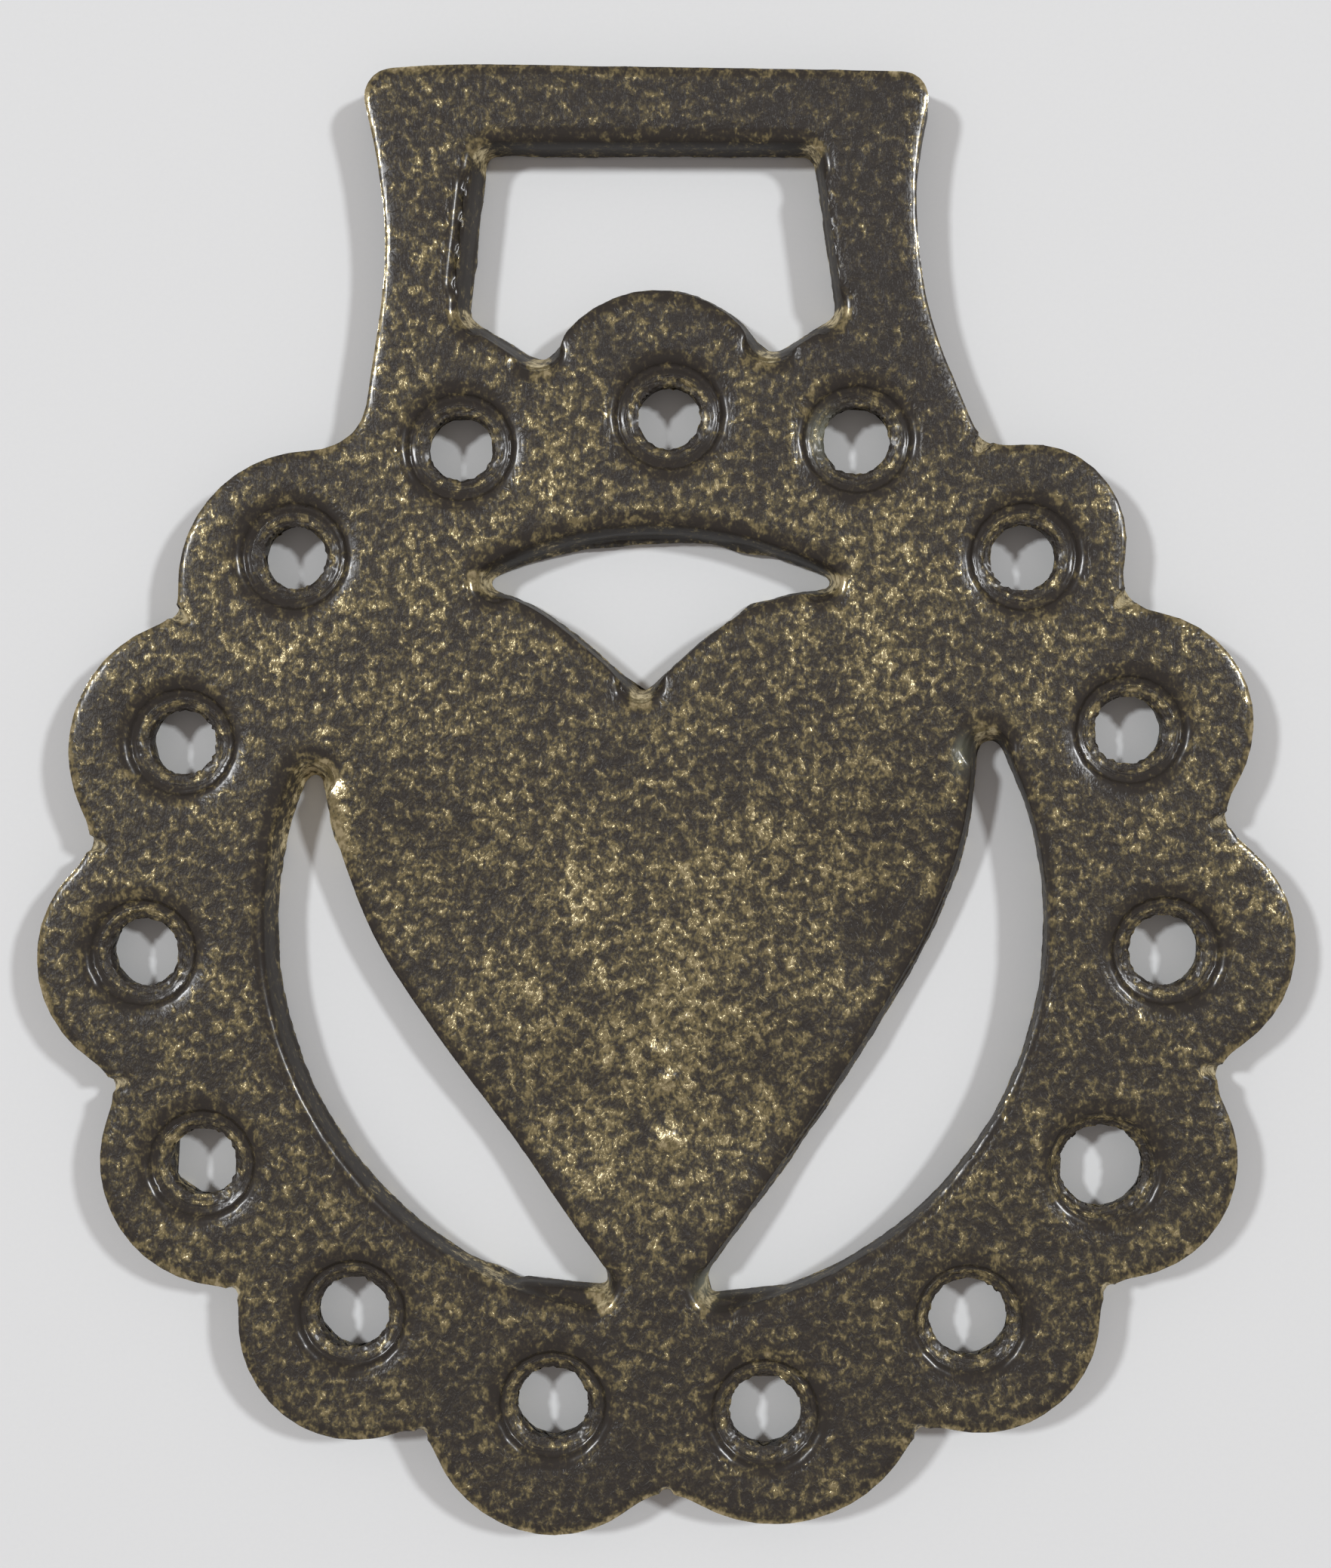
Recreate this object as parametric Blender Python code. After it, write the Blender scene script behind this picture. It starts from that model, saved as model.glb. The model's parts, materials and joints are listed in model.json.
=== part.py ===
"""A horse brass: one flat casting with a scalloped, pierced ring, a solid heart and a strap loop.

The plan is drawn in millimetres from the middle of the ring, with +Y towards the strap loop.
Every edge is a chain of arcs, lines and curves that are walked with the metal on the left. A
chain can be drawn at any inset into the metal, and the casting is lofted through its chains from
the back (z = 0) to the face. At the end the plan is moved so that the origin is under the middle
of the casting's own outline, and scaled to metres.
"""

import math
from dataclasses import dataclass

import bmesh
import bpy
import numpy as np

MM = 0.001

# Thickness and the way the edges are worked, in millimetres. Each profile pairs a height above the
# back with how far the edge has drawn back into the metal there.
THICKNESS = 3.2
RIM_PROFILE = ((0.0, 0.15), (0.35, 0.0), (2.3, 0.4), (2.85, 0.65), (THICKNESS, 1.15))
OPENING_PROFILE = ((0.0, 0.0), (0.4, 0.0), (0.65, 0.35), (2.2, 0.6), (2.85, 0.8), (THICKNESS, 1.25))

# The ring and its lobes. Directions are in degrees, anticlockwise from +X.
RING_INNER_RADIUS = 23.35
LIP_RADIUS = 3.6
HOLE_SIDES = 20
# Height above the back, and how far the wall has opened from the bore to the lip, as a share.
HOLE_PROFILE = ((0.0, 0.0), (0.45, 0.0), (0.75, 0.32), (2.2, 0.6), (2.8, 0.8), (THICKNESS, 1.0))

# Chord length of the drawn edges, and the number of chords that round a corner.
CHORD = 1.25
CORNER_CHORDS = 5
# Paths are traced in fine steps, and run on past their ends so that they cross their neighbours.
TRACE_STEP = 0.1
RUN_ON = 2.5
# The notches are cut to a point at the face: the wider the rounding at the back, the further.
NOTCH_SHARPNESS = 0.55
# Faces that meet at more than this angle, in degrees, keep a crisp edge between them.
CREASE_ANGLE = 40.0

PATINA_COLOUR = (0.105, 0.088, 0.06, 1.0)
PATINA_METALLIC = 0.85
PATINA_ROUGHNESS = 0.42


@dataclass(frozen=True)
class Lobe:
    """One scallop of the ring, its pierced hole, and the rounding of the notch that follows it."""

    direction: float
    distance: float
    radius: float
    hole_direction: float
    hole_distance: float
    bore: float
    notch: float


# The pattern was cut by hand, so no two scallops are quite alike. These twelve show on the outside.
LOBES = (
    Lobe(135.5, 29.5, 8.35, 134.6, 31.4, 3.5, 1.65),
    Lobe(159.4, 29.6, 8.45, 159.2, 31.0, 3.7, 2.6),
    Lobe(184.2, 30.5, 7.7, 183.4, 31.4, 3.9, 2.5),
    Lobe(209.0, 30.1, 7.9, 208.0, 31.4, 3.8, 1.4),
    Lobe(233.1, 30.5, 7.4, 232.3, 30.2, 4.1, 2.0),
    Lobe(258.1, 30.2, 7.9, 258.0, 30.0, 4.1, 2.8),
    Lobe(284.8, 28.0, 9.6, 282.7, 30.5, 4.1, 1.9),
    Lobe(309.9, 30.6, 7.55, 308.5, 30.6, 4.5, 2.3),
    Lobe(333.1, 31.4, 7.4, 331.5, 30.8, 4.8, 2.9),
    Lobe(357.8, 31.3, 7.6, 357.0, 30.9, 4.0, 3.2),
    Lobe(382.4, 31.65, 7.1, 382.2, 31.0, 3.8, 3.8),
    Lobe(405.6, 32.4, 6.1, 404.8, 31.5, 3.7, 2.2),
)
# Three more holes stand under the strap loop.
LOOP_HOLES = ((112.3, 31.3, 3.6), (88.4, 30.8, 3.5), (67.3, 31.8, 3.8))

# The strap loop: two waisted sides, an almost level bar and rounded ears.
LOOP_SIDE_LEFT = ((-18.3, 51.5), (-17.2, 46.3), (-16.7, 41.5), (-17.05, 37.0), (-17.9, 31.0))
LOOP_SIDE_RIGHT = ((19.2, 31.0), (16.9, 37.0), (16.1, 43.5), (16.5, 48.0), (17.3, 51.5))
BAR_TOP = ((17.6, 51.75), (4.0, 52.12), (-8.0, 52.45), (-13.0, 52.47), (-18.6, 52.2))

# The opening for the strap, with the middle lobe rising into it between two shoulders.
LOOP_TOP_LEFT = (-10.45, 46.8)
LOOP_TOP_RIGHT = (9.4, 46.55)
LOOP_FOOT_LEFT = (-11.5, 36.9)
LOOP_FOOT_RIGHT = (10.8, 36.9)
LOOP_VALLEY_LEFT = (-7.0, 34.0)
LOOP_VALLEY_RIGHT = (6.6, 34.3)
LOOP_LOBE_CENTRE = (0.05, 31.3)
LOOP_LOBE_RADIUS = 7.25

# The heart: its two rounded tops meet in the cleft, and its sides run down to the neck.
CLEFT = (-0.9, 14.0)
HEART_TOP_LEFT = (CLEFT, (-3.8, 16.55), (-5.9, 18.25), (-8.1, 19.6), (-11.4, 20.8))
HEART_TOP_RIGHT = ((11.6, 20.5), (8.5, 20.1), (6.0, 19.35), (3.2, 17.6), CLEFT)
HEART_SIDE_LEFT = ((-20.6, 9.8), (-19.7, 5.4), (-17.3, -1.0), (-13.45, -6.95), (-8.25, -13.95), (-1.5, -23.4))
HEART_SIDE_RIGHT = ((1.4, -23.4), (8.3, -14.0), (12.9, -7.0), (16.4, -1.0), (18.7, 5.0), (19.5, 11.5))


def heading(degrees):
    """Unit vector in a direction given in degrees."""
    return np.array((math.cos(math.radians(degrees)), math.sin(math.radians(degrees))))


def polar(direction, distance):
    """Point at a direction and distance from the middle of the ring."""
    return distance * heading(direction)


def arc(centre, radius, start, end):
    """A finely stepped arc between two directions from its centre."""
    steps = max(8, int(abs(math.radians(end - start)) * radius / TRACE_STEP))
    angles = np.radians(np.linspace(start, end, steps))
    return np.array(centre) + radius * np.column_stack((np.cos(angles), np.sin(angles)))


def line(start, end):
    """A finely stepped straight edge, run on past both ends so that it crosses its neighbours."""
    start, end = np.array(start), np.array(end)
    length = np.linalg.norm(end - start)
    run_on = RUN_ON * (end - start) / length
    return np.linspace(start - run_on, end + run_on, int(length / TRACE_STEP))


def curve(*knots):
    """A finely stepped smooth curve through a few points, run on straight past both ends."""
    knots = np.array(knots)
    padded = np.vstack((2.0 * knots[0] - knots[1], knots, 2.0 * knots[-1] - knots[-2]))
    pieces = []
    for before, start, end, after in zip(padded, padded[1:], padded[2:], padded[3:]):
        share = np.linspace(0.0, 1.0, max(4, int(np.linalg.norm(end - start) / TRACE_STEP)))[:-1, None]
        pieces.append(0.5 * (2.0 * start + (end - before) * share
                             + (2.0 * before - 5.0 * start + 4.0 * end - after) * share ** 2
                             + (3.0 * start - before - 3.0 * end + after) * share ** 3))
    path = np.vstack((*pieces, knots[-1]))
    first, last = path[0] - path[1], path[-1] - path[-2]
    return np.vstack((path[0] + RUN_ON * first / np.linalg.norm(first), path,
                      path[-1] + RUN_ON * last / np.linalg.norm(last)))


def walked(path):
    """Length walked up to each point of a path."""
    return np.concatenate(((0.0,), np.cumsum(np.linalg.norm(np.diff(path, axis=0), axis=1))))


def at_length(path, lengths):
    """Points of a path at the given lengths along it."""
    return np.column_stack([np.interp(lengths, walked(path), path[:, axis]) for axis in (0, 1)])


def crossing(first, second):
    """How far along each of two paths they cross, taking the last crossing of the first."""
    step_a, step_b = np.diff(first, axis=0)[:, None], np.diff(second, axis=0)[None]
    gap = second[None, :-1] - first[:-1, None]
    turn = step_a[..., 0] * step_b[..., 1] - step_a[..., 1] * step_b[..., 0]
    turn[turn == 0.0] = np.inf
    share_a = (gap[..., 0] * step_b[..., 1] - gap[..., 1] * step_b[..., 0]) / turn
    share_b = (gap[..., 0] * step_a[..., 1] - gap[..., 1] * step_a[..., 0]) / turn
    hits = np.argwhere((share_a >= 0) & (share_a <= 1) & (share_b >= 0) & (share_b <= 1))
    on_a, on_b = hits[-1]
    return (walked(first)[on_a] + share_a[on_a, on_b] * np.linalg.norm(step_a[on_a, 0]),
            walked(second)[on_b] + share_b[on_a, on_b] * np.linalg.norm(step_b[0, on_b]))


def unit(vectors):
    """The same directions at length one."""
    return vectors / np.linalg.norm(vectors, axis=-1, keepdims=True)


def to_the_left(directions):
    """The directions turned a quarter turn anticlockwise, which is into the metal."""
    return np.column_stack((-directions[:, 1], directions[:, 0]))


def stretch(path, start, end):
    """Points between two lengths of a path, and the path's heading at each."""
    lengths = np.linspace(start, end, max(1, round((end - start) / CHORD)) + 1)
    headings = unit(at_length(path, lengths + TRACE_STEP) - at_length(path, lengths - TRACE_STEP))
    return at_length(path, lengths), headings


def rounded(start, leaving, end, arriving, sharpness):
    """Points that turn a corner, and the way that each draws back, furthest in its middle."""
    turn = math.acos(float(np.clip(leaving @ arriving, -1.0, 1.0)))
    chord = np.linalg.norm(end - start)
    handle = chord * (2.0 / 3.0) * math.tan(turn / 4.0) / math.sin(turn / 2.0)
    share = np.linspace(0.0, 1.0, CORNER_CHORDS + 1)[1:-1, None]
    leave, arrive = start + handle * leaving, end - handle * arriving
    points = ((1 - share) ** 3 * start + 3 * (1 - share) ** 2 * share * leave
              + 3 * (1 - share) * share ** 2 * arrive + share ** 3 * end)
    headings = unit((1 - share) ** 2 * (leave - start) + 2 * (1 - share) * share * (arrive - leave)
                    + share ** 2 * (end - arrive))
    return points, to_the_left(headings) * (1.0 + sharpness * np.sin(math.pi * share) ** 2)


def chain(paths, corners):
    """Join paths into one closed edge.

    Each corner follows its path and is a pair: how far along its two neighbours the rounding
    starts, and how much further than its neighbours its middle draws back towards the face.
    Returns the points of the edge at its full size, and the way that each point draws back.
    """
    ends, starts = [], []
    for index, (path, (reach, _)) in enumerate(zip(paths, corners)):
        leave, arrive = crossing(path, paths[(index + 1) % len(paths)])
        ends.append(leave - reach)
        starts.append(arrive + reach)
    starts = starts[-1:] + starts[:-1]
    edges = [stretch(path, start, end) for path, start, end in zip(paths, starts, ends)]
    points, leans = [], []
    for index, (here, headings) in enumerate(edges):
        following, next_headings = edges[(index + 1) % len(edges)]
        corner, corner_leans = rounded(here[-1], headings[-1], following[0], next_headings[0],
                                       corners[index][1])
        points += [here, corner]
        leans += [to_the_left(headings), corner_leans]
    return np.vstack(points), np.vstack(leans)


def outline():
    """The outside edge: twelve lobes, then up, over and down the strap loop."""
    ear = (2.3, 0.0)
    left_foot = (3.1, 0.3)
    lobes = [arc(polar(lobe.direction, lobe.distance), lobe.radius,
                 lobe.direction - 100.0, lobe.direction + 100.0) for lobe in LOBES]
    notches = [(lobe.notch, NOTCH_SHARPNESS * lobe.notch) for lobe in LOBES]
    loop = [curve(*LOOP_SIDE_RIGHT), curve(*BAR_TOP), curve(*LOOP_SIDE_LEFT)]
    return chain(lobes + loop, notches + [ear, ear, left_foot])


def strap_opening():
    """The opening that the strap goes through, walked clockwise from its lower left corner."""
    foot = (0.6, 0.4)
    top = (0.6, 0.4)
    valley = (1.2, 0.8)
    return chain(
        [line(LOOP_FOOT_LEFT, LOOP_TOP_LEFT),
         line(LOOP_TOP_LEFT, LOOP_TOP_RIGHT),
         line(LOOP_TOP_RIGHT, LOOP_FOOT_RIGHT),
         line(LOOP_FOOT_RIGHT, LOOP_VALLEY_RIGHT),
         arc(LOOP_LOBE_CENTRE, LOOP_LOBE_RADIUS, 0.0, 180.0),
         line(LOOP_VALLEY_LEFT, LOOP_FOOT_LEFT)],
        [top, top, foot, valley, valley, foot])


def top_opening():
    """The opening between the ring and the heart's two tops, walked clockwise."""
    tip = (1.1, 0.9)
    cleft = (0.4, 0.6)
    return chain(
        [arc((0.0, 0.0), RING_INNER_RADIUS, 128.0, 52.0),
         curve(*HEART_TOP_RIGHT),
         curve(*HEART_TOP_LEFT)],
        [tip, cleft, tip])


def left_opening():
    """The crescent left of the heart, walked clockwise."""
    bottom, top = (3.0, 1.2), (2.1, 0.9)
    return chain(
        [curve(*HEART_SIDE_LEFT),
         arc((0.0, 0.0), RING_INNER_RADIUS, 275.0, 140.0)],
        [bottom, top])


def right_opening():
    """The crescent right of the heart, walked clockwise."""
    bottom, top = (3.0, 1.2), (2.2, 0.9)
    return chain(
        [arc((0.0, 0.0), RING_INNER_RADIUS, 45.0, -98.0),
         curve(*HEART_SIDE_RIGHT)],
        [bottom, top])


def hole_levels(centre, bore):
    """The levels of a pierced hole, from its bore at the back to its rounded lip at the face."""
    turns = [-math.tau * side / HOLE_SIDES for side in range(HOLE_SIDES)]
    levels = []
    for height, share in HOLE_PROFILE:
        radius = bore / 2 + share * (LIP_RADIUS - bore / 2)
        levels.append([(centre[0] + radius * math.cos(turn), centre[1] + radius * math.sin(turn), height)
                       for turn in turns])
    return levels


def edge_levels(edge, profile):
    """The levels of a chained edge, from back to face."""
    points, leans = edge
    return [[(x, y, height) for x, y in points + inset * leans] for height, inset in profile]


def loft(mesh, levels, origin):
    """Join the levels of one edge with walls, and return its back and face loops."""
    rings = [[mesh.verts.new(((x - origin[0]) * MM, (y - origin[1]) * MM, z * MM)) for x, y, z in level]
             for level in levels]
    for lower, upper in zip(rings, rings[1:]):
        for index in range(len(lower)):
            following = (index + 1) % len(lower)
            mesh.faces.new((lower[index], lower[following], upper[following], upper[index]))
    return rings[0], rings[-1]


def cap(mesh, rings):
    """Close the back or the face between all of its loops."""
    edges = []
    for ring in rings:
        for index, vertex in enumerate(ring):
            edges.append(mesh.edges.get((vertex, ring[(index + 1) % len(ring)])))
    bmesh.ops.triangle_fill(mesh, use_beauty=True, use_dissolve=False, edges=edges)


def build_casting():
    """Build the casting as one closed mesh."""
    rim = edge_levels(outline(), RIM_PROFILE)
    edges = [rim]
    edges += [edge_levels(opening(), OPENING_PROFILE)
              for opening in (strap_opening, top_opening, left_opening, right_opening)]
    holes = [(lobe.hole_direction, lobe.hole_distance, lobe.bore) for lobe in LOBES] + list(LOOP_HOLES)
    edges += [hole_levels(polar(direction, distance), bore) for direction, distance, bore in holes]

    across = [point[0] for level in rim for point in level]
    upward = [point[1] for level in rim for point in level]
    origin = ((min(across) + max(across)) / 2, (min(upward) + max(upward)) / 2)

    mesh = bmesh.new()
    loops = [loft(mesh, levels, origin) for levels in edges]
    cap(mesh, [back for back, face in loops])
    cap(mesh, [face for back, face in loops])
    bmesh.ops.recalc_face_normals(mesh, faces=mesh.faces)
    bmesh.ops.triangulate(mesh, faces=mesh.faces)
    data = bpy.data.meshes.new("horse_brass")
    mesh.to_mesh(data)
    mesh.free()
    return data


def patinated_brass():
    """Old brass under a dark brown patina."""
    material = bpy.data.materials.new("patinated_brass")
    material.use_nodes = True
    shader = material.node_tree.nodes["Principled BSDF"]
    shader.inputs["Base Color"].default_value = PATINA_COLOUR
    shader.inputs["Metallic"].default_value = PATINA_METALLIC
    shader.inputs["Roughness"].default_value = PATINA_ROUGHNESS
    return material


def main():
    """Clear the scene and model the horse brass."""
    for item in list(bpy.data.objects):
        bpy.data.objects.remove(item, do_unlink=True)
    data = build_casting()
    data.shade_smooth()
    data.set_sharp_from_angle(angle=math.radians(CREASE_ANGLE))
    data.materials.append(patinated_brass())
    brass = bpy.data.objects.new("horse_brass", data)
    bpy.context.scene.collection.objects.link(brass)


main()
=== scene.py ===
"""A cast horse brass that lies on a pale ground, under the dark and rubbed patina of an old casting.

The frame gives the casting's true form. Here a copy of it is cast again in a fine skin: the flash
that the mould left at the back of the openings, the ragged foot of every wall, soft worn edges and
the unevenness of poured metal. The patina is one procedural finish, which is told by attributes of
the skin where the metal is rubbed, where it is bare and where it has stayed dark.

Plan sizes are in millimetres in the casting's own frame, and meshes are in metres.
"""

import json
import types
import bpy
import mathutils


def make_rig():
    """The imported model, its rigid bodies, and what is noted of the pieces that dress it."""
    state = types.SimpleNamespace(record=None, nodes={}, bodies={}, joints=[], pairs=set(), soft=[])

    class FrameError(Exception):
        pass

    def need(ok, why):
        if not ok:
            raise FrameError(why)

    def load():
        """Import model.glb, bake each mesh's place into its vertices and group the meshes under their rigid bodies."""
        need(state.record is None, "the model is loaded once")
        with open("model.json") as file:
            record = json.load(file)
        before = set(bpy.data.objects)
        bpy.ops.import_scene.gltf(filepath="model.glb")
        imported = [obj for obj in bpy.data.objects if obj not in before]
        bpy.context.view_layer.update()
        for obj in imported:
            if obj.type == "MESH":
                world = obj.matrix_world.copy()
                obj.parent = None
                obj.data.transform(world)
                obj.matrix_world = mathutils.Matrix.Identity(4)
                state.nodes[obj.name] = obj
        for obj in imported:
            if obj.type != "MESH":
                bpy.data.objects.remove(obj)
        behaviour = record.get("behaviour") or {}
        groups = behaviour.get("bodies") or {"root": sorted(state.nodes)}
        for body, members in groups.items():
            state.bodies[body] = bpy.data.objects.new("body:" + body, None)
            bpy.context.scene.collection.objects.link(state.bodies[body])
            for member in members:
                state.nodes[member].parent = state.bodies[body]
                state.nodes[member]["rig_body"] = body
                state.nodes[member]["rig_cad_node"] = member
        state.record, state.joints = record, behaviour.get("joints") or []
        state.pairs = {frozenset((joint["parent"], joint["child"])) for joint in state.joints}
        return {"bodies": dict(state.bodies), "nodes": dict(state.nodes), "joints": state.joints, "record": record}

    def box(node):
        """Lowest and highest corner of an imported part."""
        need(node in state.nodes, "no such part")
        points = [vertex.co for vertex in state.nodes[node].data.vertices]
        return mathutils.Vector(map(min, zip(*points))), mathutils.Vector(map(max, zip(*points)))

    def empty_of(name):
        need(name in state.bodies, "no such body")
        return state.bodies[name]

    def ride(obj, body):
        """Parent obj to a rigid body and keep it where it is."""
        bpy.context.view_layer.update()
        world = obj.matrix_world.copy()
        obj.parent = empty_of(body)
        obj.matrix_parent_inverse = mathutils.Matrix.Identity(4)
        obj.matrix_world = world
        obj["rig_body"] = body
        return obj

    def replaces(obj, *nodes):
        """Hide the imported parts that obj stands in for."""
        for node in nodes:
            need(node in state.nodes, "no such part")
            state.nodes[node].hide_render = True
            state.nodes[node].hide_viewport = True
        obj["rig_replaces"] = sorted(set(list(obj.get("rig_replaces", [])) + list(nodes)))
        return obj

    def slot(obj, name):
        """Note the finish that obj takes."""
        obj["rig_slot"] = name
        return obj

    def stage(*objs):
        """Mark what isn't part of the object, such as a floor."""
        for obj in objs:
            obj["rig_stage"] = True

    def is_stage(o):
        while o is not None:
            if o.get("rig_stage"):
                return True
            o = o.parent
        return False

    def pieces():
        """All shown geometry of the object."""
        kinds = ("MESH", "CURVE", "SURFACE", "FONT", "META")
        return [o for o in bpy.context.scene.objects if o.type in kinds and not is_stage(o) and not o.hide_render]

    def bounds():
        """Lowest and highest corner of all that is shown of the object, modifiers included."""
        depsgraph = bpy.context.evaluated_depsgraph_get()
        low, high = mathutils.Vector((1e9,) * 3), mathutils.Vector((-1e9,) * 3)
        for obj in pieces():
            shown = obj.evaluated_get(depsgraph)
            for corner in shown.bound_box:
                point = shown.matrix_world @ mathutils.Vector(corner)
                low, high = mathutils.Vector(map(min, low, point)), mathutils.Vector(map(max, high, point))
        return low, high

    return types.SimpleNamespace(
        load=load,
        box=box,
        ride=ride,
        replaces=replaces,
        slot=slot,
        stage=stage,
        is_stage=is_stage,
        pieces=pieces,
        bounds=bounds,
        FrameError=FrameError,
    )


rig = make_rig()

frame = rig.load()

import json
import logging
import math
from dataclasses import dataclass, field
from enum import Enum

import bmesh
import bpy
import numpy as np
from mathutils import Vector
from mathutils.kdtree import KDTree

MM = 0.001
NODE = "horse_brass"
BODY = "root"
SLOT = "patinated_brass"
SIZE_FILE = "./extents.json"

# Where the middle of the ring is: aside from the casting's own middle, and below the bar's top.
RING_ASIDE = -0.38
RING_BELOW_TOP = 52.5

# How near to upright the normal of a flat face is.
FLAT = 0.999

# How far the outer and the inner edge of a hole's shelf are from its bore, and how wide they are worn.
SHELF_EDGES = (0.62, 0.02)
RING_WIDTH = 0.16

# How many different weights a vertex group has.
WEIGHT_STEPS = 50

FLOAT = "NodeSocketFloat"
VECTOR = "NodeSocketVector"

Profile = tuple[tuple[float, float], ...]
Colour = tuple[float, float, float, float]
Node = bpy.types.Node
Socket = bpy.types.NodeSocket

log = logging.getLogger("horse_brass")


class Edge(Enum):
    """The kinds of edge that the casting has in plan."""

    RIM = "rim"
    OPENING = "opening"
    HOLE = "hole"


class Mark(Enum):
    """The attributes of the skin that the patina reads."""

    RUBBED = "rubbed"
    BARE = "bare"
    SMOOTH = "smooth"
    SOILED = "soiled"
    BORED = "bored"


def deselect() -> None:
    """Leaves object mode with nothing selected."""
    if bpy.context.object is not None and bpy.context.object.mode != "OBJECT":
        bpy.ops.object.mode_set(mode="OBJECT")
    bpy.ops.object.select_all(action="DESELECT")


def take(piece: bpy.types.Object) -> None:
    """Selects one object alone and makes it active.

    Args:
        piece: The object that the next operators act on.
    """
    deselect()
    piece.select_set(True)
    bpy.context.view_layer.objects.active = piece


def modify(piece: bpy.types.Object, name: str, kind: str, **settings: object) -> None:
    """Adds a modifier to a piece and applies it.

    Args:
        piece: The piece.
        name: What the modifier makes.
        kind: Its type.
        settings: Its own settings.
    """
    take(piece)
    modifier = piece.modifiers.new(name, kind)
    for setting, value in settings.items():
        setattr(modifier, setting, value)
    bpy.ops.object.modifier_apply(modifier=modifier.name)


def positions(mesh: bpy.types.Mesh) -> np.ndarray:
    """Reads a mesh's vertices.

    Args:
        mesh: The mesh to read.

    Returns:
        One row for each vertex, in millimetres.
    """
    flat = np.empty(len(mesh.vertices) * 3, np.float32)
    mesh.vertices.foreach_get("co", flat)
    return flat.reshape(-1, 3).astype(float) / MM


def ease(low: float, high: float, values: np.ndarray) -> np.ndarray:
    """Rises smoothly from 0 at low to 1 at high, or falls where low is the larger.

    Args:
        low: The value where the result is 0.
        high: The value where the result is 1.
        values: The values to turn.

    Returns:
        The eased values, from 0 to 1.
    """
    share = np.clip((values - low) / (high - low), 0.0, 1.0)
    return share * share * (3.0 - 2.0 * share)


def per_face(mesh: bpy.types.Mesh, values: np.ndarray, reduce: np.ufunc) -> np.ndarray:
    """Turns one value for each vertex into one for each face.

    Args:
        mesh: The mesh.
        values: The vertices' values.
        reduce: How a face's own values become one.

    Returns:
        The faces' values.
    """
    corners = np.empty(len(mesh.loops), np.int32)
    mesh.loops.foreach_get("vertex_index", corners)
    starts = np.empty(len(mesh.polygons), np.int32)
    mesh.polygons.foreach_get("loop_start", starts)
    return reduce.reduceat(values[corners], starts)


@dataclass(frozen=True)
class Bite:
    """A corner of an edge that bites into the metal.

    Attributes:
        point: The corner.
        inward: The direction into the metal.
    """

    point: np.ndarray
    inward: np.ndarray

    def along(self, points: np.ndarray) -> np.ndarray:
        """How far points lie inward of the corner, negative outside it."""
        return (points[:, :2] - self.point) @ self.inward

    def across(self, points: np.ndarray) -> np.ndarray:
        """How far points lie to either side of the corner's own direction."""
        x, y = self.inward
        return np.abs((points[:, :2] - self.point) @ np.array((-y, x)))


@dataclass(frozen=True)
class Near:
    """What points find at the nearest edge.

    Attributes:
        depth: How deep each point lies in the metal, negative outside it.
        place: The nearest place on the edge.
        inward: The direction into the metal there.
    """

    depth: np.ndarray
    place: np.ndarray
    inward: np.ndarray


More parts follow.
